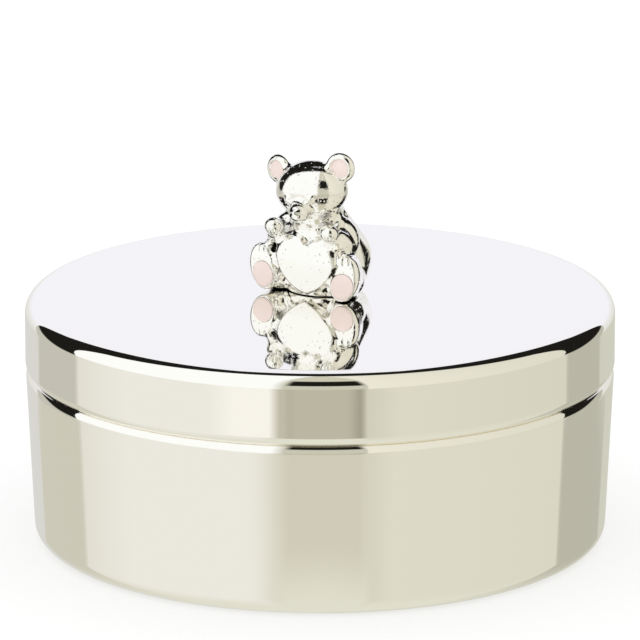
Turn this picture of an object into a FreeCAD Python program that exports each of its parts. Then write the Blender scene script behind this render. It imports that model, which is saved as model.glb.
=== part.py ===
"""Round silver-plated keepsake box for milk teeth, with a cast teddy bear on its lift-off lid.

The box is two drawn metal shells. A thin collar ring is soldered into the mouth of the base, and the lid slides
down over it until its edge rests on the base's shoulder. The bear is one casting with a heart in its arms, pink
enamel in its ears and soles, and one screw from inside the lid that holds it. Velvet pads line the floor
and the lid.

Frame: millimetres, +Z up, origin at the centre of the underside, the front of the box towards -Y.
"""

import FreeCAD, Part
import os
import re

import Sketcher

# Driving sizes in millimetres, and angles in degrees. They go into the sheet, and every feature reads them there.
SIZES = {
    # shells
    "lid_diameter": 80.0,
    "box_height": 33.6,
    "lid_depth": 10.0,
    "sheet_thickness": 1.2,
    "lid_corner": 2.2,
    "lid_edge_round": 0.65,
    "lid_lead_in": 0.15,
    "base_step": 0.04,
    "base_draft": 1.1,
    "base_corner": 2.4,
    "base_shoulder": 0.7,
    "base_recess": 0.5,
    "standing_rim": 4.0,
    # collar that guides the lid
    "collar_rise": 5.5,
    "collar_seat": 7.0,
    "collar_thickness": 0.7,
    "collar_clearance": 0.15,
    "collar_round": 0.25,
    "solder_gap": 0.03,
    # velvet linings
    "floor_pad_thickness": 2.0,
    "lid_pad_thickness": 2.6,
    "pad_edge_round": 0.6,
    "pad_gap": 0.3,
    "pocket_skin": 0.25,
    # screw and washer under the bear
    "screw_diameter": 2.5,
    "screw_reach": 4.5,
    "screw_head_diameter": 4.7,
    "screw_head_height": 1.5,
    "screw_head_round": 0.5,
    "screw_clearance": 0.15,
    "thread_clearance": 0.05,
    "washer_diameter": 6.0,
    "washer_thickness": 0.5,
    "pocket_clearance": 0.4,
    # bear
    "bear_height": 20.0,
    "bear_offset_x": 0.56,
    "bear_offset_y": 3.43,
    "bear_yaw": -30.0,
    "head_width": 10.6,
    "head_depth": 7.4,
    "head_height": 8.2,
    "head_yaw": -2.0,
    "head_tilt_angle": -8.5,
    "ear_diameter": 4.2,
    "ear_thickness": 1.8,
    "ear_enamel_diameter": 2.65,
    "ear_turn": 12.0,
    "heart_width": 9.7,
    "heart_height": 8.0,
    "heart_thickness": 3.8,
    "heart_tilt_angle": 4.0,
    "foot_width": 4.25,
    "foot_length": 6.5,
    "foot_thickness": 2.6,
    "foot_round": 0.7,
    "sole_enamel_width": 3.2,
    "sole_enamel_length": 3.6,
    "enamel_depth": 0.35,
    "enamel_gap": 0.02,
    # how far every cutting tool runs past the face that it cuts
    "overrun": 2.0,
}

# Heights and radii that several pieces share, as formulas of the driving sizes.
LID_RADIUS = "lid_diameter / 2"
RIM_HEIGHT = "(box_height - lid_depth)"
RIM_RADIUS = "(lid_diameter / 2 - base_step)"
FOOT_RADIUS = "(lid_diameter / 2 - base_step - base_draft)"
RECESS_RADIUS = "(lid_diameter / 2 - base_step - base_draft - standing_rim)"
COLLAR_RADIUS = "(lid_diameter / 2 - sheet_thickness - collar_clearance)"
SEAT_HEIGHT = "(box_height - lid_depth - collar_seat)"
LID_UNDERSIDE = "(box_height - sheet_thickness)"
FLOOR_HEIGHT = "(base_recess + sheet_thickness)"


def wall_radius(height):
    """Radius of the base's inner wall at a height: the wall leans in by base_draft from its rim to its foot."""
    return f"({FOOT_RADIUS} + base_draft * {height} / {RIM_HEIGHT} - sheet_thickness)"


doc = FreeCAD.newDocument("keepsake_box")
sheet = doc.addObject("Spreadsheet::Sheet", "Sizes")
for row, (alias, size) in enumerate(SIZES.items(), start=1):
    sheet.set(f"A{row}", alias)
    sheet.set(f"B{row}", str(size))
    sheet.setAlias(f"B{row}", alias)
doc.recompute()


def bound(formula):
    """The formula with every alias pointed at its cell of the sheet."""
    return re.sub(r"[a-z_]+", lambda word: "Sizes." + word[0] if word[0] in SIZES else word[0], formula)


def value(formula):
    """The number that a formula gives with the sheet's present sizes."""
    return float(sheet.evalExpression(bound(formula)))


def bind(feature, **formulas):
    """Binds properties of a feature to formulas. A double underscore in a name stands for a dot in the path."""
    for name, formula in formulas.items():
        feature.setExpression(name.replace("__", "."), bound(formula))
    return feature


# Bodies turned from a profile


def origin_plane(body, role):
    """A body's own origin plane, such as XZ_Plane."""
    return next(plane for plane in body.Origin.OriginFeatures if plane.Role == role)


def draw_outline(sketch, corners):
    """Closed outline of straight lines through corners, each a pair of formulas that fix its place."""
    points = [FreeCAD.Vector(value(across), value(up), 0) for across, up in corners]
    for start, end in zip(points, points[1:] + points[:1]):
        sketch.addGeometry(Part.LineSegment(start, end))
    count = len(points)
    for line in range(count):
        sketch.addConstraint(Sketcher.Constraint("Coincident", line, 2, (line + 1) % count, 1))
    for line, (across, up) in enumerate(corners):
        for kind, axis, formula in (("DistanceX", -2, across), ("DistanceY", -1, up)):
            if formula == "0":
                sketch.addConstraint(Sketcher.Constraint("PointOnObject", line, 1, axis))
                continue
            index = sketch.addConstraint(Sketcher.Constraint(kind, -1, 1, line, 1, value(formula)))
            sketch.setExpression(f"Constraints[{index}]", bound(formula))


def turned_body(label, corners):
    """A body revolved about Z from an outline of (radius, height) corners."""
    body = doc.addObject("PartDesign::Body", label)
    sketch = body.newObject("Sketcher::SketchObject", label + "_profile")
    sketch.AttachmentSupport = (origin_plane(body, "XZ_Plane"), [""])
    sketch.MapMode = "FlatFace"
    draw_outline(sketch, corners)
    turn = body.newObject("PartDesign::Revolution", label + "_turn")
    turn.Profile = sketch
    turn.ReferenceAxis = (sketch, ["V_Axis"])
    turn.Angle = 360
    doc.recompute()
    return body


SAME_RING_SHARE = 1e-5


def circle_edge(shape, radius, height):
    """Name of the shape's circular edge with that radius at that height."""
    for number, edge in enumerate(shape.Edges, start=1):
        if not isinstance(edge.Curve, Part.Circle):
            continue
        miss = max(abs(edge.Curve.Radius - radius), abs(edge.Curve.Center.z - height))
        if miss < radius * SAME_RING_SHARE:
            return f"Edge{number}"
    raise ValueError(f"no edge of radius {radius} at height {height}")


def dress(body, kind, size, formula, *rings):
    """Rounds or bevels rings of a turned body, each a (radius, height) pair of formulas."""
    base = body.Tip
    feature = body.newObject(f"PartDesign::{kind}", f"{body.Label}_{kind.lower()}_{len(body.Group)}")
    feature.Base = (base, [circle_edge(base.Shape, value(radius), value(height)) for radius, height in rings])
    bind(feature, **{size: formula})
    doc.recompute()


# Base: drawn cup with a leaning wall, a rounded shoulder, a seat for the collar and a raised floor

base_shell = turned_body("base_shell", [
    ("0", "base_recess"),
    (f"{RECESS_RADIUS} - base_recess", "base_recess"),
    (RECESS_RADIUS, "0"),
    (FOOT_RADIUS, "0"),
    (RIM_RADIUS, RIM_HEIGHT),
    (f"{COLLAR_RADIUS} + solder_gap", RIM_HEIGHT),
    (f"{COLLAR_RADIUS} + solder_gap", SEAT_HEIGHT),
    (wall_radius(SEAT_HEIGHT), SEAT_HEIGHT),
    (wall_radius("sheet_thickness"), "sheet_thickness"),
    (RECESS_RADIUS, "sheet_thickness"),
    (f"{RECESS_RADIUS} - base_recess", FLOOR_HEIGHT),
    ("0", FLOOR_HEIGHT),
])
dress(base_shell, "Fillet", "Radius", "base_corner", (FOOT_RADIUS, "0"))
dress(base_shell, "Fillet", "Radius", "base_shoulder", (RIM_RADIUS, RIM_HEIGHT))
dress(base_shell, "Fillet", "Radius", "base_corner - sheet_thickness",
      (wall_radius("sheet_thickness"), "sheet_thickness"))

# Collar: plain ring that stands on the seat inside the base and rises above its rim

COLLAR_TOP = f"({RIM_HEIGHT} + collar_rise)"
COLLAR_BORE = f"({COLLAR_RADIUS} - collar_thickness)"
inner_collar = turned_body("inner_collar", [
    (COLLAR_RADIUS, SEAT_HEIGHT),
    (COLLAR_RADIUS, COLLAR_TOP),
    (COLLAR_BORE, COLLAR_TOP),
    (COLLAR_BORE, SEAT_HEIGHT),
])
dress(inner_collar, "Fillet", "Radius", "collar_round", (COLLAR_RADIUS, COLLAR_TOP), (COLLAR_BORE, COLLAR_TOP))

# Velvet pad on the raised floor

PAD_RADIUS = f"({wall_radius(FLOOR_HEIGHT)} - base_corner + sheet_thickness - pad_gap)"
PAD_TOP = f"({FLOOR_HEIGHT} + floor_pad_thickness)"
floor_pad = turned_body("floor_pad", [
    ("0", FLOOR_HEIGHT),
    (PAD_RADIUS, FLOOR_HEIGHT),
    (PAD_RADIUS, PAD_TOP),
    ("0", PAD_TOP),
])
dress(floor_pad, "Fillet", "Radius", "pad_edge_round", (PAD_RADIUS, PAD_TOP))

# Lid: drawn cap with a flat top, a rounded corner, a softened lower edge and a hole for the screw

LID_BORE = "(screw_diameter / 2 + screw_clearance)"
LID_INNER = "(lid_diameter / 2 - sheet_thickness)"
lid_shell = turned_body("lid_shell", [
    (LID_BORE, "box_height"),
    (LID_RADIUS, "box_height"),
    (LID_RADIUS, RIM_HEIGHT),
    (LID_INNER, RIM_HEIGHT),
    (LID_INNER, LID_UNDERSIDE),
    (LID_BORE, LID_UNDERSIDE),
])
dress(lid_shell, "Fillet", "Radius", "lid_corner", (LID_RADIUS, "box_height"))
dress(lid_shell, "Fillet", "Radius", "lid_corner - sheet_thickness", (LID_INNER, LID_UNDERSIDE))
dress(lid_shell, "Fillet", "Radius", "lid_edge_round", (LID_RADIUS, RIM_HEIGHT))
dress(lid_shell, "Chamfer", "Size", "lid_lead_in", (LID_INNER, RIM_HEIGHT))

# Velvet pad under the lid, with a pocket on its hidden face for the screw's head

LID_PAD_RADIUS = f"({COLLAR_BORE} - pad_gap)"
LID_PAD_FOOT = f"({LID_UNDERSIDE} - lid_pad_thickness)"
POCKET_RADIUS = "(washer_diameter / 2 + pocket_clearance)"
lid_pad = turned_body("lid_pad", [
    ("0", LID_PAD_FOOT),
    (LID_PAD_RADIUS, LID_PAD_FOOT),
    (LID_PAD_RADIUS, LID_UNDERSIDE),
    (POCKET_RADIUS, LID_UNDERSIDE),
    (POCKET_RADIUS, f"{LID_PAD_FOOT} + pocket_skin"),
    ("0", f"{LID_PAD_FOOT} + pocket_skin"),
])
dress(lid_pad, "Fillet", "Radius", "pad_edge_round", (LID_PAD_RADIUS, LID_PAD_FOOT))

# Screw and washer that hold the bear from inside the lid

SHANK_RADIUS = "(screw_diameter / 2)"
HEAD_RADIUS = "(screw_head_diameter / 2)"
HEAD_TOP = f"({LID_UNDERSIDE} - washer_thickness)"
HEAD_FOOT = f"({HEAD_TOP} - screw_head_height)"
figure_screw = turned_body("figure_screw", [
    ("0", HEAD_FOOT),
    (HEAD_RADIUS, HEAD_FOOT),
    (HEAD_RADIUS, HEAD_TOP),
    (SHANK_RADIUS, HEAD_TOP),
    (SHANK_RADIUS, "box_height + screw_reach"),
    ("0", "box_height + screw_reach"),
])
dress(figure_screw, "Fillet", "Radius", "screw_head_round", (HEAD_RADIUS, HEAD_FOOT))

screw_washer = turned_body("screw_washer", [
    (LID_BORE, HEAD_TOP),
    ("washer_diameter / 2", HEAD_TOP),
    ("washer_diameter / 2", LID_UNDERSIDE),
    (LID_BORE, LID_UNDERSIDE),
])

# Bear: places and half sizes are shares of the bear's height, with x to its left, y to its back and z up from the lid

RUMP_SHARES = ((0.0, 0.04, 0.20), (0.315, 0.29, 0.27))
SEAT_SHARES = ((0.0, -0.05, 0.06), (0.26, 0.215, 0.14))
BELLY_SHARES = ((0.0, -0.13, 0.29), (0.29, 0.135, 0.19))
CHEST_SHARES = ((0.0, -0.055, 0.41), (0.225, 0.21, 0.22))
NECK_SHARES = ((0.01, -0.125, 0.57), (0.185, 0.175, 0.135))
HEAD_PLACE_SHARES = (0.023, -0.205, 0.735)
HEART_PLACE_SHARES = (0.025, -0.25, 0.225)

# Limbs: from one joint to the next, with the half thickness of the limb between them
SHOULDER_SHARES = (0.19, -0.10, 0.50)
ELBOW_SHARES = (0.27, -0.12, 0.34)
WRIST_SHARES = (0.225, -0.275, 0.455)
HIP_SHARES = (0.20, -0.02, 0.12)
ANKLE_SHARES = (0.295, -0.21, 0.105)
UPPER_ARM_SHARE = 0.092
FOREARM_SHARE = 0.078
PAW_SHARES = ((0.216, -0.305, 0.475), (0.068, 0.060, 0.064))
LEG_SHARE = 0.125
SOLE_SHARES = {"left": (0.312, -0.29, 0.165), "right": (0.322, -0.30, 0.178)}

# Face and ears: shares of the head's half width, depth and height, from the centre of the head
SNOUT_SHARES = ((0.0, -1.04, -0.56), (0.268, 0.384, 0.346))
NOSE_SHARES = ((0.0, -1.395, -0.50), (0.085, 0.09, 0.07))
EYE_SHARES = ((0.345, -0.925, -0.15), (0.085, 0.12, 0.105))
EAR_SHARES = (0.93, 0.03, 0.71)

# Lean, turn and tip of each foot, in degrees, and how far its enamel sits below its middle as a share of its length
FOOT_LEAN_ANGLES = {"left": 8.0, "right": 16.0}
FOOT_TURN_ANGLES = {"left": 13.0, "right": 5.0}
FOOT_TIP_ANGLE = 6.0
SOLE_ENAMEL_DROP_SHARE = 0.17

# Heart: radii of its lobes and sides, and half sizes of the ellipsoid that rounds it, as shares of its width and height
LOBE_SHARE = 0.265
SIDE_SHARE = 0.84
PILLOW_SHARE = 0.58


def sides():
    """Name of each side of the bear, with the sign that it has along x."""
    yield "left", 1
    yield "right", -1


def shares_of(size, shares):
    """Formulas for a place or a set of half sizes, as shares of one size."""
    return tuple(f"{size} * ({share})" for share in shares)


def put(feature, place):
    """Binds a feature's place to three formulas."""
    x, y, z = place
    return bind(feature, Placement__Base__x=x, Placement__Base__y=y, Placement__Base__z=z)


def ellipsoid(name, place, halves):
    """An ellipsoid with its half sizes along x, y and z."""
    feature = doc.addObject("Part::Ellipsoid", name)
    across, along, up = halves
    bind(feature, Radius1=up, Radius2=across, Radius3=along)
    return put(feature, place)


def limb(name, start, end, half_thickness_share):
    """An ellipsoid from one joint to another, a little longer than the way between them."""
    feature = doc.addObject("Part::Ellipsoid", name)
    way = FreeCAD.Vector(*end) - FreeCAD.Vector(*start)
    middle = (FreeCAD.Vector(*end) + FreeCAD.Vector(*start)) / 2
    feature.Placement.Rotation = FreeCAD.Rotation(FreeCAD.Vector(0, 0, 1), way)
    reach_share = (way.Length + half_thickness_share) / 2
    bind(feature, Radius1=f"bear_height * {reach_share}", Radius2=f"bear_height * {half_thickness_share}",
         Radius3=f"bear_height * {half_thickness_share}")
    return put(feature, shares_of("bear_height", middle))


def mirrored(shares, side):
    """The same place on one side of the bear."""
    return (shares[0] * side, shares[1], shares[2])


def fused(name, pieces):
    """Pieces joined into one solid, with every seam between them kept as an edge."""
    feature = doc.addObject("Part::MultiFuse", name)
    feature.Shapes = pieces
    feature.Refine = False
    return feature


def cut(name, base, tool):
    """A base with a tool taken away."""
    feature = doc.addObject("Part::Cut", name)
    feature.Base = base
    feature.Tool = tool
    feature.Refine = False
    return feature


# Trunk and arms

TRUNK_SHARES = {
    "rump": RUMP_SHARES,
    "seat": SEAT_SHARES,
    "belly": BELLY_SHARES,
    "chest": CHEST_SHARES,
    "neck": NECK_SHARES,
}
trunk = [
    ellipsoid(name, shares_of("bear_height", place), shares_of("bear_height", halves))
    for name, (place, halves) in TRUNK_SHARES.items()
]
limbs = []
for side_name, side in sides():
    shoulder, elbow, wrist = (mirrored(at, side) for at in (SHOULDER_SHARES, ELBOW_SHARES, WRIST_SHARES))
    hip, ankle = (mirrored(at, side) for at in (HIP_SHARES, ANKLE_SHARES))
    limbs.append(limb(f"upper_arm_{side_name}", shoulder, elbow, UPPER_ARM_SHARE))
    limbs.append(limb(f"forearm_{side_name}", elbow, wrist, FOREARM_SHARE))
    limbs.append(limb(f"leg_{side_name}", hip, ankle, LEG_SHARE))
    limbs.append(ellipsoid(f"paw_{side_name}", shares_of("bear_height", mirrored(PAW_SHARES[0], side)),
                           shares_of("bear_height", PAW_SHARES[1])))

# Head with its face and ears, turned and tilted about its own centre

HEAD_HALVES = ("head_width / 2", "head_depth / 2", "head_height / 2")
UPRIGHT = FreeCAD.Vector(0, 0, 1)
BACKWARDS = FreeCAD.Vector(0, 1, 0)
SIDEWAYS = FreeCAD.Vector(1, 0, 0)
HEAD_TURN = FreeCAD.Rotation(UPRIGHT, value("head_yaw")).multiply(FreeCAD.Rotation(BACKWARDS, value("head_tilt_angle")))
FACING = FreeCAD.Rotation(UPRIGHT, SIDEWAYS, BACKWARDS, "XYZ")


def of_head(shares):
    """Formulas for half sizes as shares of the head's own."""
    return tuple(f"{half} * ({share})" for half, share in zip(HEAD_HALVES, shares))


def on_head(shares):
    """Formulas for a place on the turned head, as shares of its half sizes from its centre."""
    axes = [HEAD_TURN.multVec(axis) for axis in (SIDEWAYS, BACKWARDS, UPRIGHT)]
    lengths = of_head(shares)
    centre = shares_of("bear_height", HEAD_PLACE_SHARES)
    return tuple(
        " + ".join([centre[way]] + [f"({axis[way]:.6f}) * {length}" for axis, length in zip(axes, lengths)])
        for way in range(3)
    )


def head_ellipsoid(name, place, halves):
    """An ellipsoid that is turned with the head."""
    feature = ellipsoid(name, on_head(place), of_head(halves))
    feature.Placement.Rotation = HEAD_TURN
    return feature


def ear_disc(name, diameter, thickness, place, turn):
    """A disc that stands forward from the middle plane of an ear."""
    feature = doc.addObject("Part::Cylinder", name)
    feature.Placement.Rotation = turn.multiply(FreeCAD.Rotation(UPRIGHT, FreeCAD.Vector(0, -1, 0)))
    bind(feature, Radius=diameter + " / 2", Height=thickness)
    return put(feature, place)


skull = head_ellipsoid("skull", (0.0, 0.0, 0.0), (1.0, 1.0, 1.0))
head = [skull] + [
    head_ellipsoid(name, place, halves)
    for name, (place, halves) in (("snout", SNOUT_SHARES), ("nose", NOSE_SHARES))
]
enamels = []
for side_name, side in sides():
    head.append(head_ellipsoid(f"eye_{side_name}", mirrored(EYE_SHARES[0], side), EYE_SHARES[1]))
    place = on_head(mirrored(EAR_SHARES, side))
    ear_turn = HEAD_TURN.multiply(FreeCAD.Rotation(UPRIGHT, value("ear_turn") * side))
    blank = ellipsoid(f"ear_blank_{side_name}", place, ("ear_diameter / 2", "ear_thickness / 2", "ear_diameter / 2"))
    blank.Placement.Rotation = ear_turn
    hollow = ear_disc(f"ear_hollow_{side_name}", "ear_enamel_diameter", "ear_thickness", place, ear_turn)
    head.append(cut(f"ear_{side_name}", blank, hollow))
    filling = ear_disc(f"ear_filling_{side_name}", "(ear_enamel_diameter - enamel_gap)", "enamel_depth", place,
                       ear_turn)
    enamels.append(cut(f"ear_enamel_{side_name}", filling, skull))

# Feet: upright oval plates with a rounded edge, and oval cells in their soles for the enamel


def oval(name, width, length, depth, place, turn):
    """An oval plate that faces forwards before it is turned, starts at its place and reaches back by its depth."""
    outline = doc.addObject("Part::Ellipse", name + "_outline")
    bind(outline, MajorRadius=length + " / 2", MinorRadius=width + " / 2")
    plate = doc.addObject("Part::Extrusion", name)
    plate.Base = outline
    plate.DirMode = "Custom"
    plate.Dir = UPRIGHT
    plate.Solid = True
    plate.Placement.Rotation = turn.multiply(FACING)
    bind(plate, LengthFwd=depth)
    return put(plate, place)


def front_edge(shape):
    """Number of the edge that lies furthest to the front."""
    return 1 + min(range(len(shape.Edges)), key=lambda index: shape.Edges[index].BoundBox.YMax)


feet = []
sole_cells = {}
for side_name, side in sides():
    lean = FreeCAD.Rotation(BACKWARDS, FOOT_LEAN_ANGLES[side_name] * side)
    tipped = FreeCAD.Rotation(SIDEWAYS, -FOOT_TIP_ANGLE).multiply(lean)
    turn = FreeCAD.Rotation(UPRIGHT, FOOT_TURN_ANGLES[side_name] * side).multiply(tipped)
    middle = shares_of("bear_height", mirrored(SOLE_SHARES[side_name], side))
    down = turn.multVec(UPRIGHT * -SOLE_ENAMEL_DROP_SHARE)
    lower = tuple(f"{at} + foot_length * ({share:.6f})" for at, share in zip(middle, down))
    block = oval(f"foot_block_{side_name}", "foot_width", "foot_length", "foot_thickness", middle, turn)
    doc.recompute()
    rounded = doc.addObject("Part::Fillet", f"foot_rounded_{side_name}")
    rounded.Base = block
    rounded.Edges = [(front_edge(block.Shape), value("foot_round"), value("foot_round"))]
    feet.append(rounded)
    sole_cells[side_name] = oval(f"sole_cell_{side_name}", "sole_enamel_width", "sole_enamel_length", "enamel_depth",
                                 lower, turn)
    filling = oval(f"sole_filling_{side_name}", "(sole_enamel_width - enamel_gap)",
                   "(sole_enamel_length - enamel_gap)", "enamel_depth", lower, turn)
    enamel = doc.addObject("Part::Common", f"foot_enamel_{side_name}")
    enamel.Base = filling
    enamel.Tool = rounded
    enamels.append(enamel)

# Heart: a plate with a heart's outline, rounded to a pillow by an ellipsoid

heart_plate = doc.addObject("PartDesign::Body", "heart_plate")
outline = heart_plate.newObject("Sketcher::SketchObject", "heart_outline")
outline.AttachmentSupport = (origin_plane(heart_plate, "XZ_Plane"), [""])
outline.MapMode = "FlatFace"
LOBE_RADIUS = f"(heart_width * {LOBE_SHARE})"
SIDE_RADIUS = f"(heart_width * {SIDE_SHARE})"
LOBE_ACROSS = f"(heart_width / 2 - {LOBE_RADIUS})"
LOBE_UP = f"(heart_height / 2 - {LOBE_RADIUS})"
lobe_across = value(LOBE_ACROSS)
lobe_up = value(LOBE_UP)
lobe_radius = value(LOBE_RADIUS)
side_radius = value(SIDE_RADIUS)
tip = FreeCAD.Vector(0, -value("heart_height / 2"), 0)
lobe = FreeCAD.Vector(lobe_across, lobe_up, 0)
notch = FreeCAD.Vector(0, lobe_up + (lobe_radius ** 2 - lobe_across ** 2) ** 0.5, 0)

# The side arc touches the lobe from outside its centre and ends at the tip
reach = side_radius - lobe_radius
span = (lobe - tip).Length
along = (span ** 2 + side_radius ** 2 - reach ** 2) / (2 * span)
rise = (side_radius ** 2 - along ** 2) ** 0.5
axis = (lobe - tip).normalize()
across = FreeCAD.Vector(-axis.y, axis.x, 0)
hub = tip + axis * along + across * rise
touch = hub + (lobe - hub).normalize() * side_radius


def arc_between(centre, radius, start, end):
    """Counter-clockwise arc about a centre from one point to another."""
    def angle_to(point):
        return FreeCAD.Vector(1, 0, 0).getAngle(point - centre) * (1 if point.y >= centre.y else -1)
    return Part.ArcOfCircle(Part.Circle(centre, UPRIGHT, radius), angle_to(start), angle_to(end))


def flipped(point):
    """The point on the heart's other half."""
    return FreeCAD.Vector(-point.x, point.y, point.z)


outline.addGeometry(arc_between(hub, side_radius, tip, touch))
outline.addGeometry(arc_between(lobe, lobe_radius, touch, notch))
outline.addGeometry(arc_between(flipped(lobe), lobe_radius, notch, flipped(touch)))
outline.addGeometry(arc_between(flipped(hub), side_radius, flipped(touch), tip))
for arc in range(4):
    kind = "Tangent" if arc in (0, 2) else "Coincident"
    outline.addConstraint(Sketcher.Constraint(kind, arc, 2, (arc + 1) % 4, 1))
outline.addConstraint(Sketcher.Constraint("PointOnObject", 0, 1, -2))


def dimension(formula, kind, *places):
    """A dimension of the heart's outline, bound to a formula."""
    index = outline.addConstraint(Sketcher.Constraint(kind, *places, value(formula)))
    outline.setExpression(f"Constraints[{index}]", bound(formula))


dimension(SIDE_RADIUS, "Radius", 0)
dimension(LOBE_RADIUS, "Radius", 1)
dimension(LOBE_RADIUS, "Radius", 2)
dimension(SIDE_RADIUS, "Radius", 3)
dimension(LOBE_ACROSS, "DistanceX", -1, 1, 1, 3)
dimension(LOBE_ACROSS, "DistanceX", 2, 3, -1, 1)
dimension(LOBE_UP, "DistanceY", -1, 1, 1, 3)
dimension(LOBE_UP, "DistanceY", -1, 1, 2, 3)
dimension("heart_height / 2", "DistanceY", 0, 1, -1, 1)
pad = heart_plate.newObject("PartDesign::Pad", "heart_pad")
pad.Profile = outline
pad.Midplane = True
bind(pad, Length="heart_thickness")
put(heart_plate, shares_of("bear_height", HEART_PLACE_SHARES))
pillow = ellipsoid("heart_pillow", shares_of("bear_height", HEART_PLACE_SHARES),
                   ("heart_width * " + str(PILLOW_SHARE), "heart_thickness / 2", "heart_height * " + str(PILLOW_SHARE)))
for form in (heart_plate, pillow):
    form.Placement.Rotation = FreeCAD.Rotation(BACKWARDS, value("heart_tilt_angle"))
heart = doc.addObject("Part::MultiCommon", "heart")
heart.Shapes = [heart_plate, pillow]

# Bear: everything joined, set on the lid, cut flat where it sits and bored for the screw


def on_lid(feature):
    """Turns a feature of the bear and sets it on the lid."""
    feature.Placement.Rotation = FreeCAD.Rotation(UPRIGHT, value("bear_yaw"))
    return put(feature, ("bear_offset_x", "bear_offset_y", "box_height"))


bear_form = fused("bear_form", [fused("body_form", trunk + limbs + feet), fused("head_form", head), heart])
for side_name, cell in sole_cells.items():
    bear_form = cut(f"bear_with_cell_{side_name}", bear_form, cell)
on_lid(bear_form)
below_lid = doc.addObject("Part::Box", "below_lid")
bind(below_lid, Length="lid_diameter", Width="lid_diameter", Height="bear_height")
put(below_lid, ("lid_diameter / -2", "lid_diameter / -2", "box_height - bear_height"))
screw_hole = doc.addObject("Part::Cylinder", "screw_hole")
bind(screw_hole, Radius="screw_diameter / 2 + thread_clearance", Height="overrun + screw_reach + screw_clearance")
put(screw_hole, ("0", "0", "box_height - overrun"))
bear_figure = cut("bear_figure", cut("bear_seated", bear_form, below_lid), screw_hole)

PIECES = [base_shell, inner_collar, floor_pad, lid_shell, lid_pad, figure_screw, screw_washer, bear_figure]
PIECES += [on_lid(enamel) for enamel in enamels]
doc.recompute()

# Every feature has to be sound before a file is written
for feature in doc.Objects:
    if "Invalid" in feature.State or "Error" in feature.State:
        raise RuntimeError(f"{feature.Label} failed")
os.makedirs("parts", exist_ok=True)
for piece in PIECES:
    if piece.Shape.isNull() or not piece.Shape.isValid():
        raise RuntimeError(f"{piece.Label} has no sound shape")
    piece.Shape.exportStep(f"parts/{piece.Label}.step")
    print(piece.Label, len(piece.Shape.Solids), round(piece.Shape.Volume, 2))
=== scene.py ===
# %% [markdown]
# # A silver-plated keepsake box with a teddy bear on its lid
# The box is a drawn base with a lift-off lid, and a small cast bear sits on the lid. Nearly every
# surface is a mirror, so the picture depends on three things: outlines that are smooth enough to
# mirror without facets, a bear with soft cast forms, and a studio that is worth mirroring. The CAD
# model comes in as a frame: it fixes the places and sizes, and the pieces made here ride on its
# bodies.

# %% Load the frame
import math

import bmesh
import bpy
from mathutils import Matrix, Vector


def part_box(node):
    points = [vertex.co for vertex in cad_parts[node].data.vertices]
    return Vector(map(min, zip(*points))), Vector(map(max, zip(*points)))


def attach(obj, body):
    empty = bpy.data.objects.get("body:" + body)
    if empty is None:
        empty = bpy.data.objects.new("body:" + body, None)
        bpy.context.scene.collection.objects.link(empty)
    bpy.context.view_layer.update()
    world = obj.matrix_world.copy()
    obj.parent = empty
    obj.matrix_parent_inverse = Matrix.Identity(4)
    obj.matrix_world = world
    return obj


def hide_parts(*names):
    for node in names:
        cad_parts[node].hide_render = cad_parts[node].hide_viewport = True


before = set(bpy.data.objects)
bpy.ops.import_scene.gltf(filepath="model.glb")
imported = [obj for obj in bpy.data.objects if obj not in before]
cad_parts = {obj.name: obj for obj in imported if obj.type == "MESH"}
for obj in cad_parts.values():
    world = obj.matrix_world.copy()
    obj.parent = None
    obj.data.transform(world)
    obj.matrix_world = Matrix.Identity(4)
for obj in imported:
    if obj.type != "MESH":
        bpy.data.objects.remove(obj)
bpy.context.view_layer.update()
MM = 0.001
print("Nodes:", ", ".join(sorted(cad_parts)))

# %% [markdown]
# ## Camera
# The box was photographed from about a metre away with a long lens, a little above the lid. A long
# lens keeps the upper and lower ovals nearly alike, which is why the sides of the box look almost
# straight.

# %% Camera
CAMERA_DISTANCE = 1.0
CAMERA_TILT = math.radians(15.36)
CAMERA_LENS = 414.56
AIM = Vector((0, 0, 29.98 * MM))

to_camera = Vector((0, -math.cos(CAMERA_TILT), math.sin(CAMERA_TILT)))
bpy.ops.object.camera_add(location=AIM + CAMERA_DISTANCE * to_camera,
                          rotation=(math.pi / 2 - CAMERA_TILT, 0, 0))
camera = bpy.context.object
camera.data.lens = CAMERA_LENS
scene = bpy.context.scene
scene.camera = camera
scene.view_settings.view_transform = "Standard"
print("Camera at", tuple(round(c, 3) for c in camera.location))

# %% [markdown]
# ## Studio tools
# A polished box shows the room more than itself, so the room is drawn with care. It is a pattern in
# the world that only mirroring rays see, while everything else gets even white light. These small
# helpers put its nodes together.


# %% Studio tools
def math_node(tree, operation, *inputs):
    """A math node, with plain numbers or other nodes' outputs as its inputs."""
    node = tree.nodes.new("ShaderNodeMath")
    node.operation = operation
    for socket, value in zip(node.inputs, inputs):
        if isinstance(value, (int, float)):
            socket.default_value = value
        else:
            tree.links.new(value, socket)
    return node.outputs[0]


def step_node(tree, value, start, end):
    """0 before start, 1 after end and smooth between them. The order may be reversed."""
    node = tree.nodes.new("ShaderNodeMapRange")
    node.interpolation_type = "SMOOTHSTEP"
    tree.links.new(value, node.inputs["Value"])
    node.inputs["From Min"].default_value = start
    node.inputs["From Max"].default_value = end
    return node.outputs["Result"]


def window_node(tree, value, first, last):
    """1 between two soft edges and 0 outside them. Each edge is the start and end of its step."""
    return math_node(tree, "MULTIPLY", step_node(tree, value, *first), step_node(tree, value, *last))


def mix_node(tree, factor, first, second):
    """A colour mix, with colours or other nodes' outputs as its two ends."""
    node = tree.nodes.new("ShaderNodeMix")
    node.data_type = "RGBA"
    tree.links.new(factor, node.inputs["Factor"])
    for socket, value in zip((node.inputs[6], node.inputs[7]), (first, second)):
        if isinstance(value, tuple):
            socket.default_value = (*value, 1)
        else:
            tree.links.new(value, socket)
    return node.outputs[2]


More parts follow.
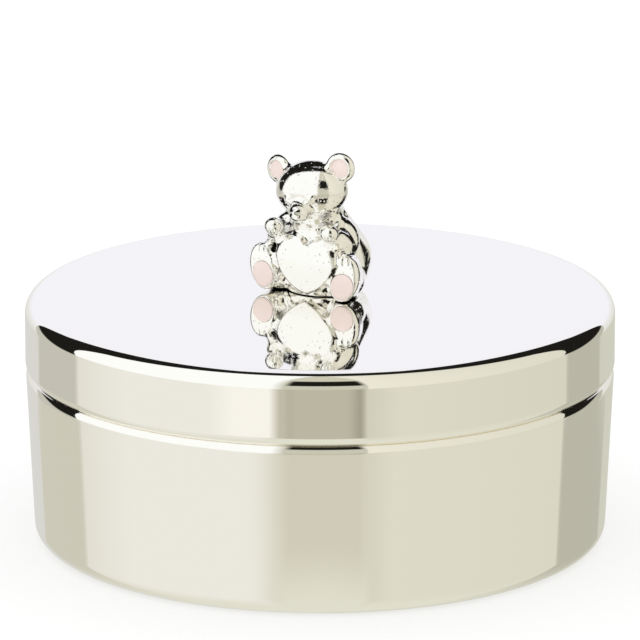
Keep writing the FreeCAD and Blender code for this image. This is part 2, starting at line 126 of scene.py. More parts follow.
def ring_node(tree, turn, bands, soft):
    """Colours round the box. A band is its end in degrees, its colour and, if it changes, the last one."""
    node = tree.nodes.new("ShaderNodeValToRGB")
    ramp = node.color_ramp
    ramp.elements.remove(ramp.elements[1])
    ramp.elements[0].position = 0
    ramp.elements[0].color = (*bands[0][1], 1)
    for (end, *colours), (_, following, *_) in zip(bands, bands[1:]):
        for place, tone in ((end - soft, colours[-1]), (end + soft, following)):
            ramp.elements.new((place + 180) / 360).color = (*tone, 1)
    tree.links.new(math_node(tree, "MULTIPLY_ADD", turn, 1 / 360, 0.5), node.inputs["Fac"])
    return node.outputs["Color"]


# %% [markdown]
# ## Directions
# Every pattern below is drawn by direction, in degrees. The turn says how far to the right of the
# camera a ray leaves, and the rise how steeply it climbs.

# %% Directions
world = bpy.data.worlds.new("studio")
world.use_nodes = True
scene.world = world
tree = world.node_tree
direction = tree.nodes.new("ShaderNodeSeparateXYZ")
tree.links.new(tree.nodes.new("ShaderNodeTexCoord").outputs["Generated"], direction.inputs[0])
right, back, up = direction.outputs
front = math_node(tree, "MULTIPLY", back, -1)
turn = math_node(tree, "DEGREES", math_node(tree, "ARCTAN2", right, front))
rise = math_node(tree, "DEGREES", math_node(tree, "ARCSINE", up))
print("Directions from", len(tree.nodes), "nodes")

# %% [markdown]
# ## Table round the box
# The walls of the box face the table. It is bright on the left, where the window card lights it,
# creamier on the right, and dim in front, where the camera stands. The lid mirrors the far table,
# the base leans in and mirrors the near table, and the rounded foot mirrors the table close by,
# which is pale again even in front.

# %% Table
BACK_LEFT = (0.70, 0.69, 0.66)
LEFT_END = (0.78, 0.76, 0.69)
LEFT_TABLE = (0.86, 0.845, 0.785)
WINDOW_GLOW = (0.96, 0.94, 0.88)
FAR_DIM = (0.54, 0.52, 0.42)
FAR_FRONT = (0.51, 0.49, 0.39)
FAR_RIGHT = (0.735, 0.72, 0.61)
NEAR_FRONT = (0.64, 0.62, 0.51)
NEAR_RIGHT = (0.75, 0.735, 0.625)
BACK_SHADE = (0.50, 0.49, 0.41)
BACK_RIGHT = (0.63, 0.63, 0.54)
CLOSE_TABLE = (0.77, 0.76, 0.65)
FAR_TABLE = [
    (-143, BACK_LEFT), (-109.5, (0.56, 0.55, 0.48)), (-80, LEFT_END, LEFT_TABLE), (-45, LEFT_TABLE),
    (-33, LEFT_TABLE, WINDOW_GLOW), (-20.5, WINDOW_GLOW), (-14.8, WINDOW_GLOW, FAR_DIM),
    (-11, FAR_DIM, (0.47, 0.45, 0.35)), (10, FAR_FRONT), (17, FAR_FRONT, (0.35, 0.335, 0.26)),
    (32, (0.65, 0.635, 0.535), FAR_RIGHT), (112, FAR_RIGHT, (0.69, 0.68, 0.57)),
    (141, BACK_SHADE), (180, BACK_RIGHT)]
NEAR_TABLE = [
    (-148, BACK_LEFT), (-109.5, (0.62, 0.605, 0.51)), (-80, LEFT_END, LEFT_TABLE), (-30, LEFT_TABLE),
    (-21, LEFT_TABLE, (0.80, 0.785, 0.71)), (-11.5, (0.765, 0.75, 0.665), NEAR_FRONT),
    (16.5, NEAR_FRONT), (30, (0.67, 0.655, 0.545), NEAR_RIGHT),
    (112, NEAR_RIGHT, (0.72, 0.705, 0.595)), (153, BACK_SHADE), (180, BACK_RIGHT)]
BAND_SOFT = 0.8
NEAR_STEP = (-16.6, -18)
CLOSE_STEP = (-22, -72)
CAMERA_LEFT, CAMERA_RIGHT = (-24, -12), (23, 17)
FOOT_STEP = (-22.6, -23.05)

far_table = ring_node(tree, turn, FAR_TABLE, soft=BAND_SOFT)
near_table = ring_node(tree, turn, NEAR_TABLE, soft=BAND_SOFT)
table = mix_node(tree, step_node(tree, rise, *NEAR_STEP), far_table, near_table)
table = mix_node(tree, step_node(tree, rise, *CLOSE_STEP), table, CLOSE_TABLE)
at_camera = window_node(tree, turn, CAMERA_LEFT, CAMERA_RIGHT)
at_foot = math_node(tree, "MULTIPLY", at_camera, step_node(tree, rise, *FOOT_STEP))
table = mix_node(tree, at_foot, table, CLOSE_TABLE)
print("Table bands:", len(FAR_TABLE), "far,", len(NEAR_TABLE), "near")

# %% [markdown]
# ## Cards
# Two cards stand left and right of the camera with a gap between them, through which the dark room
# shows. The left card ends softly at the gap and the right one sharply. High over the gap and low
# in it the room is grey.

# %% Cards
BLACK = (0.012, 0.011, 0.009)
LEFT_CARD = (1.02, 1.03, 1.02)
RIGHT_CARD = (0.86, 0.83, 0.72)
RIGHT_CARD_END = (0.74, 0.72, 0.61)
GAP_OVER = (0.62, 0.60, 0.48)
GAP_UNDER = (0.60, 0.585, 0.48)
CARD_BANDS = [
    (-19, LEFT_CARD), (-12.7, LEFT_CARD, GAP_UNDER), (17, BLACK), (114, RIGHT_CARD, RIGHT_CARD_END),
    (180, RIGHT_CARD_END)]
CARD_SOFT = 0.6
GAP_LEFT, GAP_RIGHT = (-14.2, -13.3), (18.5, 17.6)
GAP_TOP, GAP_FOOT = (43, 49), (16, 12)

cards = ring_node(tree, turn, CARD_BANDS, soft=CARD_SOFT)
in_gap = window_node(tree, turn, GAP_LEFT, GAP_RIGHT)
over_gap = math_node(tree, "MULTIPLY", in_gap, step_node(tree, rise, *GAP_TOP))
under_gap = math_node(tree, "MULTIPLY", in_gap, step_node(tree, rise, *GAP_FOOT))
upper = mix_node(tree, over_gap, cards, GAP_OVER)
upper = mix_node(tree, under_gap, upper, GAP_UNDER)
print("Card bands:", len(CARD_BANDS))

# %% [markdown]
# ## Ceiling and panel
# Overhead the room is dark, and behind the box hangs a pale panel, creamier at its foot. The dark
# ceiling is what the lid's rounded corner squeezes into the black line that draws its edge: thin at
# the front, and thicker towards the sides, where the corner mirrors more of it. Both edges of the
# ceiling are lines across the sky, given by how far a ray runs behind and across for its height.
# Past the sides the dark tapers off upwards, away from the table.

# %% Ceiling and panel
BACK_PANEL = (0.93, 0.925, 0.985)
BACK_LOW = (0.79, 0.785, 0.74)
LEAST_HEIGHT = 0.02
CARD_CURVE, CARD_SLOPE, CARD_SHIFT = 0.3, 0.33, 0.06
PANEL_NEAREST, PANEL_INNER, PANEL_OUTER = 0.36, 1.75, 1.25
PANEL_SLOPE, PANEL_SHIFT = 0.8, 0.45
EDGE_SOFT = 0.02
TAPER_FROM, TAPER_BEND, TAPER_LIMIT = 112, 0.0214, 30
HORIZON = (-13, -9)
PANEL_FADE = (11, -9)

height = math_node(tree, "MAXIMUM", up, LEAST_HEIGHT)
across = math_node(tree, "DIVIDE", math_node(tree, "ABSOLUTE", right), height)
behind = math_node(tree, "DIVIDE", back, height)
curve = math_node(tree, "MULTIPLY", math_node(tree, "POWER", across, 2), CARD_CURVE)
straight = math_node(tree, "MULTIPLY_ADD", across, CARD_SLOPE, CARD_SHIFT)
card_edge = math_node(tree, "SUBTRACT", math_node(tree, "MINIMUM", curve, straight), CARD_SHIFT)
outer = math_node(tree, "MAXIMUM", math_node(tree, "MULTIPLY_ADD", across, PANEL_SLOPE, PANEL_SHIFT),
                  math_node(tree, "MULTIPLY", across, PANEL_OUTER))
inner = math_node(tree, "MULTIPLY", across, PANEL_INNER)
panel_edge = math_node(tree, "MAXIMUM", math_node(tree, "MINIMUM", inner, outer), PANEL_NEAREST)
past_cards = math_node(tree, "SUBTRACT", behind, card_edge)
past_ceiling = math_node(tree, "SUBTRACT", behind, panel_edge)

aside = math_node(tree, "SUBTRACT", math_node(tree, "ABSOLUTE", turn), TAPER_FROM)
bend = math_node(tree, "POWER", math_node(tree, "MAXIMUM", aside, 0), 2)
lift = math_node(tree, "MINIMUM", math_node(tree, "MULTIPLY", bend, TAPER_BEND), TAPER_LIMIT)
tapered = step_node(tree, math_node(tree, "SUBTRACT", rise, lift), *HORIZON)
ceiling = mix_node(tree, tapered, table, BLACK)
panel = mix_node(tree, step_node(tree, rise, *PANEL_FADE), BACK_PANEL, BACK_LOW)
upper = mix_node(tree, step_node(tree, past_cards, -EDGE_SOFT, EDGE_SOFT), upper, ceiling)
upper = mix_node(tree, step_node(tree, past_ceiling, -EDGE_SOFT, EDGE_SOFT), upper, panel)
room = mix_node(tree, step_node(tree, rise, *HORIZON), table, upper)
print("Room:", len(tree.nodes), "nodes")

# %% [markdown]
# ## Light
# Mirroring rays see the room, the camera sees plain white behind the box, and all other rays bring
# even light. Silver that mirrors silver needs many bounces before a ray leaves the narrow places.

# %% Light
EVEN_LIGHT = 1.12
ALL_BOUNCES = 24
MIRROR_BOUNCES = 20

ray = tree.nodes.new("ShaderNodeLightPath")
light = mix_node(tree, ray.outputs["Is Glossy Ray"], (EVEN_LIGHT,) * 3, room)
seen = mix_node(tree, ray.outputs["Is Camera Ray"], light, (1.0, 1.0, 1.0))
tree.links.new(seen, tree.nodes["Background"].inputs["Color"])
scene.cycles.max_bounces = ALL_BOUNCES
scene.cycles.glossy_bounces = MIRROR_BOUNCES
print("Even light", EVEN_LIGHT)

# %% [markdown]
# ## Floor
# The box stands on a white sweep. The floor glows a little, so that open floor comes out as white
# as the world behind it, and its diffuse part keeps the soft shadow where the box meets it.
# Mirroring rays pass through it, because the studio pattern already holds the table that the box
# mirrors.

# %% Floor
FLOOR_SIZE = 4
FLOOR_GLOW = 0.58

bpy.ops.mesh.primitive_plane_add(size=FLOOR_SIZE)
floor = bpy.context.object
floor.name = "floor"
floor.visible_glossy = False
material = bpy.data.materials.new("white_sweep")
material.use_nodes = True
shader = material.node_tree.nodes["Principled BSDF"]
shader.inputs["Base Color"].default_value = (1 - FLOOR_GLOW,) * 3 + (1,)
shader.inputs["Roughness"].default_value = 1
shader.inputs["Specular IOR Level"].default_value = 0
shader.inputs["Emission Color"].default_value = (1, 1, 1, 1)
shader.inputs["Emission Strength"].default_value = FLOOR_GLOW
floor.data.materials.append(material)
print("Floor glow", FLOOR_GLOW)

# %% [markdown]
# ## Flag
# A bright silver head against a white background would lose its outline. Photographers hang a small
# black card, a flag, over such a piece: the crown of the head mirrors it and gets a dark edge. Only
# mirroring rays see it here, and only those of a certain length, so that it shows in the head and
# not in the lid, also when the lid is lifted.

# %% Flag
FLAG_RADIUS = 26 * MM
FLAG_HALF_WIDTH = 26 * MM
FLAG_NEAREST = 9 * MM
FLAG_REACH = 40 * MM
FLAG_FROM = math.radians(100)
FLAG_TO = math.radians(150)
FLAG_STEPS = 12
HEAD_DEPTH = 5 * MM

bear_low, bear_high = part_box("bear_figure")
middle = (bear_low + bear_high) / 2
head_centre = Vector((middle.x, middle.y, bear_high.z - HEAD_DEPTH))
start = Vector((-FLAG_HALF_WIDTH, -FLAG_RADIUS * math.cos(FLAG_FROM), FLAG_RADIUS * math.sin(FLAG_FROM)))
bpy.ops.mesh.primitive_plane_add(size=MM)
flag = bpy.context.object
flag.name = "flag"
bpy.ops.object.mode_set(mode="EDIT")
bpy.ops.mesh.merge(type="CENTER")
bpy.ops.transform.translate(value=head_centre + start)
bpy.ops.mesh.extrude_region_move(TRANSFORM_OT_translate={"value": (2 * FLAG_HALF_WIDTH, 0, 0)})
bpy.ops.mesh.select_all(action="SELECT")
bpy.ops.mesh.spin(steps=FLAG_STEPS, angle=FLAG_TO - FLAG_FROM, center=head_centre, axis=(1, 0, 0))
bpy.ops.object.mode_set(mode="OBJECT")
material = bpy.data.materials.new("black_flag")
material.use_nodes = True
flag_tree = material.node_tree
shader = flag_tree.nodes["Principled BSDF"]
shader.inputs["Base Color"].default_value = (*BLACK, 1)
shader.inputs["Specular IOR Level"].default_value = 0
length = flag_tree.nodes.new("ShaderNodeLightPath").outputs["Ray Length"]
within = math_node(flag_tree, "LESS_THAN", length, FLAG_REACH)
clear = math_node(flag_tree, "GREATER_THAN", length, FLAG_NEAREST)
flag_tree.links.new(math_node(flag_tree, "MULTIPLY", within, clear), shader.inputs["Alpha"])
flag.data.materials.append(material)
flag.visible_camera = False
flag.visible_diffuse = False
flag.visible_shadow = False
print("Flag spans", [round(c / MM, 1) for c in flag.dimensions], "mm")

# %% [markdown]
# ## Material tools
# Every pattern is computed in the object's own coordinates, so it stays on its piece when the lid
# moves.

# %% Material tools
CREASE_SAMPLES = 8


def new_material(name, **sockets):
    """A material whose Principled shader has these values, with spaces in names written as underscores."""
    made = bpy.data.materials.new(name)
    made.use_nodes = True
    principled = made.node_tree.nodes["Principled BSDF"]
    for socket, value in sockets.items():
        principled.inputs[socket.replace("_", " ")].default_value = value
    return made


def bump(made, height, distance):
    """Feeds a height into the material's normals."""
    node_tree = made.node_tree
    node = node_tree.nodes.new("ShaderNodeBump")
    node.inputs["Distance"].default_value = distance
    node.inputs["Strength"].default_value = 1.0
    node_tree.links.new(height, node.inputs["Height"])
    node_tree.links.new(node.outputs["Normal"], node_tree.nodes["Principled BSDF"].inputs["Normal"])


def noise(made, size, detail=2.0):
    """Noise in the object's own coordinates, with features of about that size."""
    node_tree = made.node_tree
    coordinates = node_tree.nodes.new("ShaderNodeTexCoord")
    node = node_tree.nodes.new("ShaderNodeTexNoise")
    node.inputs["Scale"].default_value = 1 / size
    node.inputs["Detail"].default_value = detail
    node_tree.links.new(coordinates.outputs["Object"], node.inputs["Vector"])
    return node.outputs["Fac"]


def pits(made, spacing, radius):
    """Sparse round pits in the object's own coordinates: 0 in a pit and 1 elsewhere."""
    node_tree = made.node_tree
    coordinates = node_tree.nodes.new("ShaderNodeTexCoord")
    node = node_tree.nodes.new("ShaderNodeTexVoronoi")
    node.inputs["Scale"].default_value = 1 / spacing
    node_tree.links.new(coordinates.outputs["Object"], node.inputs["Vector"])
    return step_node(node_tree, node.outputs["Distance"], 0, radius / spacing)


def occlusion_shade(made, reach, dark, bright, own):
    """Painted shade from occlusion: 0 in a deep crease and 1 in the open. own ignores other pieces."""
    node = made.node_tree.nodes.new("ShaderNodeAmbientOcclusion")
    node.samples = CREASE_SAMPLES
    node.only_local = own
    node.inputs["Distance"].default_value = reach
    return step_node(made.node_tree, node.outputs["AO"], dark, bright)


# %% [markdown]
# ## Silver
# Silver plate is a mirror with a trace of warmth. The shells are polished smooth. The cast bear
# keeps a fine grain and patches of small pits from its mould. Its colour is darkened with painted
# shade deep in its creases and along the line where it sits on the lid, where little light reaches.

# %% Silver
SILVER = (0.965, 0.955, 0.925, 1)
CREASE_SHADE = (0.05, 0.045, 0.03)
GRAIN_SIZE, GRAIN_SHARE = 0.25 * MM, 0.25
PIT_SPACING, PIT_RADIUS = 0.55 * MM, 0.13 * MM
PATCH_SIZE = 2.2 * MM
PITTED_ABOVE, SOUND_BELOW = 0.46, 0.40
SKIN_DEPTH = 0.05 * MM
CREASE_REACH = 1.3 * MM
CREASE_DARK, CREASE_BRIGHT = 0.46, 0.68
CONTACT_REACH = 0.33 * MM
CONTACT_DARK, CONTACT_BRIGHT = 0.30, 0.60

silver_plate = new_material("silver_plate", Base_Color=SILVER, Metallic=1.0, Roughness=0.03)
silver_casting = new_material("silver_casting", Base_Color=SILVER, Metallic=1.0, Roughness=0.06)
cast_tree = silver_casting.node_tree
grain = noise(silver_casting, GRAIN_SIZE, detail=3.0)
sound = step_node(cast_tree, noise(silver_casting, PATCH_SIZE), PITTED_ABOVE, SOUND_BELOW)
pitted = math_node(cast_tree, "MAXIMUM", pits(silver_casting, PIT_SPACING, PIT_RADIUS), sound)
bump(silver_casting, math_node(cast_tree, "MULTIPLY_ADD", grain, GRAIN_SHARE, pitted), SKIN_DEPTH)
# Painted shade: the colour darkens to near black in the bear's creases and where it meets the lid.
crease = occlusion_shade(silver_casting, CREASE_REACH, CREASE_DARK, CREASE_BRIGHT, own=True)
contact = occlusion_shade(silver_casting, CONTACT_REACH, CONTACT_DARK, CONTACT_BRIGHT, own=False)
unshaded = math_node(cast_tree, "MULTIPLY", crease, contact)
tone = mix_node(cast_tree, unshaded, CREASE_SHADE, SILVER[:3])
cast_tree.links.new(tone, cast_tree.nodes["Principled BSDF"].inputs["Base Color"])
print("Made", silver_plate.name, "and", silver_casting.name, "with", len(cast_tree.nodes), "nodes")

# %% [markdown]
# ## Enamel, zinc and velvet
# Enamel is a glossy pale pink, zinc plating a dull grey metal. Velvet is nearly black where one
# looks into its pile, and its sheen gives it the blue.

# %% Enamel, zinc and velvet
PILE_SIZE, PILE_DEPTH = 0.35 * MM, 0.15 * MM

pink_enamel = new_material("pink_enamel", Base_Color=(0.97, 0.82, 0.77, 1), Roughness=0.12)
zinc_steel = new_material("zinc_steel", Base_Color=(0.62, 0.63, 0.65, 1), Metallic=1.0, Roughness=0.3)
velvet = new_material("velvet", Base_Color=(0.012, 0.016, 0.05, 1), Roughness=0.9, Sheen_Weight=0.6,
                      Sheen_Roughness=0.35, Sheen_Tint=(0.35, 0.42, 0.8, 1))
bump(velvet, noise(velvet, PILE_SIZE, detail=4.0), PILE_DEPTH)
print("Made", pink_enamel.name, zinc_steel.name, velvet.name)

# %% [markdown]
# ## Turned pieces
# A metal spinner presses a sheet over a turning form, so the base, the lid and the collar are
# bodies of revolution. The same is done here: one vertex is extruded from corner to corner, chosen
# corners are bevelled round, and the outline is spun about the axis. Many steps and face-weighted
# normals keep the mirror free of facets.

# %% Turning tool
SPIN_STEPS = 288
ROUND_STEPS = 14
MERGE_DISTANCE = MM / 1000
SHARP_ANGLE = math.radians(40)


def begin(name):
    """A new object at the origin with one vertex, open in edit mode."""
    bpy.ops.object.select_all(action="DESELECT")
    bpy.ops.mesh.primitive_plane_add(size=MM)
    piece = bpy.context.object
    piece.name = name
    bpy.ops.object.mode_set(mode="EDIT")
    bpy.ops.mesh.merge(type="CENTER")
    return piece


def round_corner(piece, corner, radius):
    """Bevels the outline's vertex at a corner, so that the arc there gets the radius."""
    bpy.ops.mesh.select_all(action="DESELECT")
    mesh = bmesh.from_edit_mesh(piece.data)
    vertex = min(mesh.verts, key=lambda v: (v.co - corner).length)
    arms = [(edge.other_vert(vertex).co - vertex.co).normalized() for edge in vertex.link_edges]
    vertex.select_set(True)
    mesh.select_flush_mode()
    bmesh.update_edit_mesh(piece.data)
    setback = radius / math.tan(arms[0].angle(arms[1]) / 2)
    bpy.ops.mesh.bevel(offset=setback, segments=ROUND_STEPS, affect="VERTICES")


def turned(name, outline, rounds=()):
    """Spins a closed outline of (radius, height) corners about Z. rounds pairs corner numbers and radii."""
    piece = begin(name)
    corners = [Vector((radius, 0, height)) for radius, height in outline]
    bpy.ops.transform.translate(value=corners[0])
    for here, following in zip(corners, corners[1:]):
        bpy.ops.mesh.extrude_region_move(TRANSFORM_OT_translate={"value": following - here})
    bpy.ops.mesh.select_all(action="DESELECT")
    mesh = bmesh.from_edit_mesh(piece.data)
    for vertex in [v for v in mesh.verts if len(v.link_edges) == 1]:
        vertex.select_set(True)
    bmesh.update_edit_mesh(piece.data)
    bpy.ops.mesh.edge_face_add()
    for number, radius in rounds:
        round_corner(piece, corners[number], radius)
    bpy.ops.mesh.select_all(action="SELECT")
    bpy.ops.mesh.spin(steps=SPIN_STEPS, angle=2 * math.pi, center=(0, 0, 0), axis=(0, 0, 1))
    bpy.ops.mesh.select_all(action="SELECT")
    bpy.ops.mesh.remove_doubles(threshold=MERGE_DISTANCE)
    bpy.ops.mesh.delete_loose()
    bpy.ops.mesh.select_all(action="SELECT")
    bpy.ops.mesh.normals_make_consistent(inside=False)
    bpy.ops.object.mode_set(mode="OBJECT")
    bpy.ops.object.shade_smooth_by_angle(angle=SHARP_ANGLE)
    modifier = piece.modifiers.new("weighted", "WEIGHTED_NORMAL")
    modifier.keep_sharp = True
    bpy.ops.object.modifier_apply(modifier=modifier.name)
    return piece


def finish_piece(piece, material, body, nodes):
    """Paints a piece and hands it to the frame in place of CAD nodes."""
    piece.data.materials.clear()
    piece.data.materials.append(material)
    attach(piece, body)
    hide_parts(*nodes)
    print(piece.name, len(piece.data.polygons), "faces")


# %% [markdown]
# ## Base
# The base is a drawn cup. Its wall leans in by a millimetre towards the foot, and under the lid a
# soft shoulder falls away from the seam. Its floor is pressed up so that the box stands on an outer
# ring. Inside, the wall steps back to make a seat for the collar.

# %% Base
SHEET = 1.2 * MM
LID_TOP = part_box("lid_shell")[1].z
LID_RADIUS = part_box("lid_shell")[1].x
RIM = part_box("lid_shell")[0].z
RIM_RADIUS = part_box("base_shell")[1].x
COLLAR_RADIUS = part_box("inner_collar")[1].x
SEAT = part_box("inner_collar")[0].z
COLLAR_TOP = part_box("inner_collar")[1].z
DRAFT = 1.1 * MM
FOOT_RADIUS = RIM_RADIUS - DRAFT
RECESS = 0.5 * MM
RING_WIDTH = 4 * MM
RECESS_RADIUS = FOOT_RADIUS - RING_WIDTH
SOLDER_GAP = 0.03 * MM
BASE_CORNER = 2.4 * MM
BASE_SHOULDER = 2.1 * MM
SHOULDER_FALL = 0.5 * MM
SHOULDER_DEPTH = 0.235 * MM


def inner_wall(height):
    """Radius of the base's inner wall at a height."""
    return FOOT_RADIUS + DRAFT * height / RIM - SHEET


base = turned("silver_base", [
    (0, RECESS), (RECESS_RADIUS - RECESS, RECESS), (RECESS_RADIUS, 0), (FOOT_RADIUS, 0),
    (RIM_RADIUS, RIM - SHOULDER_FALL), (RIM_RADIUS - SHOULDER_DEPTH, RIM),
    (COLLAR_RADIUS + SOLDER_GAP, RIM), (COLLAR_RADIUS + SOLDER_GAP, SEAT),
    (inner_wall(SEAT), SEAT), (inner_wall(SHEET), SHEET),
    (RECESS_RADIUS, SHEET), (RECESS_RADIUS - RECESS, RECESS + SHEET), (0, RECESS + SHEET)],
    rounds=[(3, BASE_CORNER), (4, BASE_SHOULDER), (9, BASE_CORNER - SHEET)])
finish_piece(base, silver_plate, "base", ["base_shell"])

# %% [markdown]
# ## Collar
# A plain ring is soldered inside the base and stands up above its rim. The lid slips over it, which
# keeps it from sliding off. Its upper edges are broken, so that the lid finds its way.

# %% Collar
COLLAR_SHEET = 0.7 * MM
COLLAR_BORE = COLLAR_RADIUS - COLLAR_SHEET
COLLAR_ROUND = 0.25 * MM

collar = turned("silver_collar", [
    (COLLAR_RADIUS, SEAT), (COLLAR_RADIUS, COLLAR_TOP), (COLLAR_BORE, COLLAR_TOP), (COLLAR_BORE, SEAT)],
    rounds=[(1, COLLAR_ROUND), (2, COLLAR_ROUND)])
finish_piece(collar, silver_plate, "base", ["inner_collar"])

# %% [markdown]
# ## Lid
# The lid is a drawn cap with a flat top. Its upper corner is the most important curve on the box:
# it draws the dark ceiling as a black line. Its lower edge is turned in softly above the seam, and
# a hole in the middle takes the bear's screw.

# %% Lid
LID_CORNER = 2.2 * MM
LID_EDGE = 1.4 * MM
EDGE_RISE = 0.58 * MM
EDGE_DEPTH = 0.69 * MM
EDGE_ROUND = 0.35 * MM
LID_LEAD_IN = 0.15 * MM
LID_BORE = 1.4 * MM

lid = turned("silver_lid", [
    (LID_BORE, LID_TOP), (LID_RADIUS, LID_TOP), (LID_RADIUS, RIM + EDGE_RISE),
    (LID_RADIUS - EDGE_DEPTH, RIM), (LID_RADIUS - SHEET + LID_LEAD_IN, RIM),
    (LID_RADIUS - SHEET, RIM + LID_LEAD_IN),
    (LID_RADIUS - SHEET, LID_TOP - SHEET), (LID_BORE, LID_TOP - SHEET)],
    rounds=[(1, LID_CORNER), (2, LID_EDGE), (3, EDGE_ROUND), (6, LID_CORNER - SHEET)])
finish_piece(lid, silver_plate, "lid", ["lid_shell"])

# %% [markdown]
# ## Copies of CAD pieces
# The bear and its enamel are too free in form to be turned. They start as copies of the CAD meshes,
# which hold their masses as crisp solids, and get their softness here. The CAD pieces themselves
# stay as they are.


# %% Copying tools
def copy_node(node, name):
    """A copy of a CAD node's mesh with its loose corners merged."""
    bpy.ops.object.select_all(action="DESELECT")
    piece = bpy.data.objects.new(name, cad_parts[node].data.copy())
    scene.collection.objects.link(piece)
    piece.select_set(True)
    bpy.context.view_layer.objects.active = piece
    bpy.ops.object.mode_set(mode="EDIT")
    bpy.ops.mesh.select_all(action="SELECT")
    bpy.ops.mesh.remove_doubles(threshold=MERGE_DISTANCE)
    bpy.ops.mesh.normals_make_consistent(inside=False)
    bpy.ops.object.mode_set(mode="OBJECT")
    return piece


def apply_modifier(piece, kind, **settings):
    """Adds a modifier, sets it and applies it."""
    modifier = piece.modifiers.new(kind.lower(), kind)
    for setting, value in settings.items():
        setattr(modifier, setting, value)
    bpy.ops.object.modifier_apply(modifier=modifier.name)


# %% [markdown]
# ## Back of the bear
# The bear's back is one smooth curve from neck to seat: a convex hull over the back of its trunk
# joins the casting. The hull is measured in the bear's own frame, which is turned on the lid and
# stands where the bear sits.

# %% Back of the bear
BEAR_SEAT = Vector((0.56 * MM, 3.43 * MM, LID_TOP))
BEAR_TURN = math.radians(-30)
BEAR_PLACE = Matrix.Translation(BEAR_SEAT) @ Matrix.Rotation(BEAR_TURN, 4, "Z")
BACK_FROM = -0.5 * MM
BACK_TOP = 12.5 * MM

bear = copy_node("bear_figure", "silver_bear")
back_fill = copy_node("bear_figure", "back_fill")
bpy.ops.object.mode_set(mode="EDIT")
bpy.ops.mesh.select_all(action="DESELECT")
mesh = bmesh.from_edit_mesh(back_fill.data)
for vertex in mesh.verts:
    spot = BEAR_PLACE.inverted() @ vertex.co
    vertex.select_set(spot.y < BACK_FROM or spot.z > BACK_TOP)
mesh.select_flush_mode()
bmesh.update_edit_mesh(back_fill.data)
bpy.ops.mesh.delete(type="VERT")
bpy.ops.mesh.select_all(action="SELECT")
bpy.ops.mesh.convex_hull()
bpy.ops.object.mode_set(mode="OBJECT")
bear.select_set(True)
bpy.context.view_layer.objects.active = bear
bpy.ops.object.join()
print("Bear with its back:", len(bear.data.vertices), "vertices")

# %% [markdown]
# ## Casting
# The bear is one casting. Molten metal doesn't flow into a knife-edged crease, and polishing in a
# barrel softens what is left. Both are done to a voxel mesh: it swells by the radius of a crease,
# is rebuilt, and shrinks back, which leaves every crease filled with that radius and every other
# form where it was.

# %% Casting
VOXEL = 0.13 * MM
CREASE_RADIUS = 0.35 * MM

apply_modifier(bear, "REMESH", mode="VOXEL", voxel_size=VOXEL)
apply_modifier(bear, "SMOOTH", iterations=4, factor=0.5)
apply_modifier(bear, "DISPLACE", strength=CREASE_RADIUS, mid_level=0)
apply_modifier(bear, "REMESH", mode="VOXEL", voxel_size=VOXEL)
apply_modifier(bear, "SMOOTH", iterations=6, factor=0.5)
apply_modifier(bear, "DISPLACE", strength=-CREASE_RADIUS, mid_level=0)
apply_modifier(bear, "SMOOTH", iterations=6, factor=0.5)
bpy.ops.object.shade_smooth()
print("Casting:", len(bear.data.vertices), "vertices")

# %% [markdown]
# ## Claws and toes
# Fine lines are cut into the model before it is cast: three claws on each paw, where it holds the
# heart, and three toes over the top of each sole. A line is a row of points laid onto the surface.
# Whatever lies near it gets a weight, and the weighted part of the surface is pressed in.

# %% Lines
LINE_WIDTH = 0.13 * MM
LINE_DEPTH = 0.16 * MM
PAW = Vector((4.32, -6.1, 9.5)) * MM
PAW_HALVES = Vector((1.36, 1.2, 1.28)) * MM
CLAW_DIPS = range(15, 80, 10)
CLAW_SWINGS = (-4, 24, 52)
SOLE_FACING = -0.5
TOE_HEIGHTS = (3.2, 3.5, 3.8, 4.1, 4.4)
TOES_ASIDE = (-0.85, 0.1, 1.0)
LEAST_WEIGHT = 0.02


def claw(side, swing):
    """Points of a line down the front of a paw, swung about its height."""
    swing = math.radians(swing)
    for dip in CLAW_DIPS:
        low, out = math.sin(math.radians(dip)), math.cos(math.radians(dip))
        round_paw = Vector((out * math.sin(swing), -out * math.cos(swing), -low))
        yield BEAR_PLACE @ (Vector((PAW.x * side, PAW.y, PAW.z)) + round_paw * PAW_HALVES)


def toe(node, aside):
    """Points of a line over the top of a sole, beside its middle."""
    fronts = [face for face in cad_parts[node].data.polygons if face.normal.y < SOLE_FACING]
    facing = sum((face.normal * face.area for face in fronts), Vector()).normalized()
    middle = sum(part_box(node), Vector()) / 2
    upwards = (Vector((0, 0, 1)) - facing * facing.z).normalized()
    for height in TOE_HEIGHTS:
        yield middle + upwards * height * MM + upwards.cross(facing) * aside * MM


lines = [list(claw(side, swing)) for side in (1, -1) for swing in CLAW_SWINGS]
lines += [list(toe(f"foot_enamel_{side}", aside)) for side in ("left", "right") for aside in TOES_ASIDE]
points = [bear.closest_point_on_mesh(point)[1] for line in lines for point in line]
group = bear.vertex_groups.new(name="lines")
for vertex in bear.data.vertices:
    nearest = min((vertex.co - point).length_squared for point in points)
    weight = math.exp(-nearest / LINE_WIDTH ** 2)
    if weight > LEAST_WEIGHT:
        group.add([vertex.index], weight, "REPLACE")
apply_modifier(bear, "DISPLACE", strength=-LINE_DEPTH, mid_level=0, vertex_group=group.name)
bear.vertex_groups.clear()
finish_piece(bear, silver_casting, "lid", ["bear_figure"])

# %% [markdown]
# ## Enamel
# Pink enamel is run into shallow cells in the ears and soles. Its surface draws in at the rim as it
# sets, so each filling gets a soft edge.

# %% Enamel
RIM_ROUND = 0.09 * MM
RIM_STEPS = 3
ENAMEL_SHARP = math.radians(30)

for node in ("ear_enamel_left", "ear_enamel_right", "foot_enamel_left", "foot_enamel_right"):
    filling = copy_node(node, f"pink_{node}")
    apply_modifier(filling, "BEVEL", width=RIM_ROUND, segments=RIM_STEPS, limit_method="ANGLE",
                   angle_limit=SHARP_ANGLE)
    bpy.ops.object.shade_smooth_by_angle(angle=ENAMEL_SHARP)
    finish_piece(filling, pink_enamel, "lid", [node])

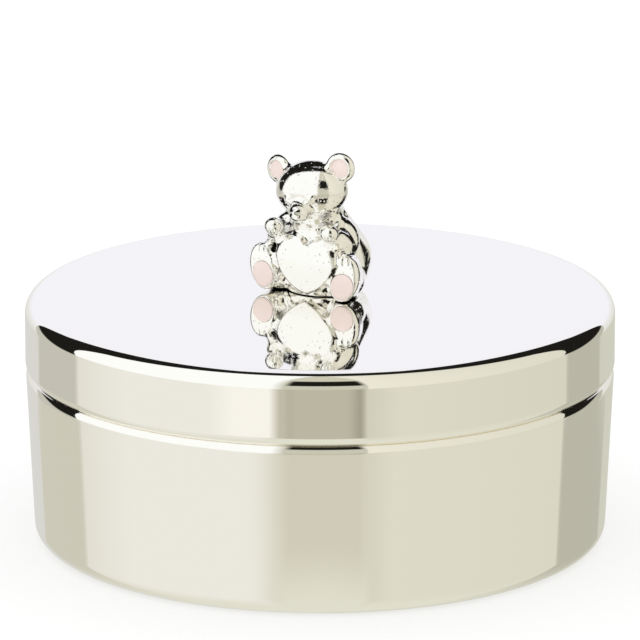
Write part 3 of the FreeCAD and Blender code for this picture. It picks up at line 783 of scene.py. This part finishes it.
# %% [markdown]
# ## Velvet pads
# Each pad is a disc of foam under stretched velvet. The cloth pulls its edge round and leaves its
# middle a little crowned, and the nap lies unevenly. The pad is turned like the shells, and a soft
# noise then presses its open face in. The lid's pad has a pocket in its hidden face, which leaves
# room for the screw.

# %% Velvet pads
CROWN = 0.35 * MM
CROWN_STEPS = 24
PAD_ROUND = 0.6 * MM
NAP_DEPTH = 0.16 * MM
NAP_SIZE = 5 * MM
POCKET_RADIUS = 3.4 * MM
POCKET_SKIN = 0.25 * MM


def crowned(radius, edge, middle):
    """Corners of a crowned face from its rim to its middle."""
    shares = [1 - step / CROWN_STEPS for step in range(CROWN_STEPS + 1)]
    return [(radius * share, middle + (edge - middle) * share ** 4) for share in shares]


def velvet_pad(name, body, node, outline, face, press):
    """A turned pad whose open face, the part of it past one height, is pressed in unevenly."""
    pad = turned(name, outline, rounds=[(2, PAD_ROUND)])
    group = pad.vertex_groups.new(name="face")
    group.add([v.index for v in pad.data.vertices if (v.co.z - face) * press > 0], 1.0, "REPLACE")
    nap = bpy.data.textures.new(name, "CLOUDS")
    nap.noise_scale = NAP_SIZE
    apply_modifier(pad, "DISPLACE", texture=nap, direction="Z", strength=-press, mid_level=0,
                   vertex_group=group.name)
    pad.vertex_groups.clear()
    bpy.ops.object.shade_smooth()
    finish_piece(pad, velvet, body, [node])


low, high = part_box("floor_pad")
radius = high.x
velvet_pad("velvet_floor", "base", "floor_pad",
           [(0, low.z), (radius, low.z), *crowned(radius, high.z - CROWN, high.z)],
           high.z - 2 * CROWN, NAP_DEPTH)
low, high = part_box("lid_pad")
radius = high.x
velvet_pad("velvet_lid", "lid", "lid_pad",
           [(POCKET_RADIUS, high.z), (radius, high.z), *crowned(radius, low.z + CROWN, low.z),
            (0, low.z + POCKET_SKIN), (POCKET_RADIUS, low.z + POCKET_SKIN)],
           low.z + 2 * CROWN, -NAP_DEPTH)

# %% [markdown]
# ## Screw and washer
# One screw from inside the lid holds the bear, with a washer under its head. They keep their CAD
# shapes, which are plain turned forms, and get a zinc finish.

# %% Screw and washer
for node in ("figure_screw", "screw_washer"):
    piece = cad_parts[node]
    piece.data.materials.clear()
    piece.data.materials.append(zinc_steel)
print("Zinc: screw and washer")
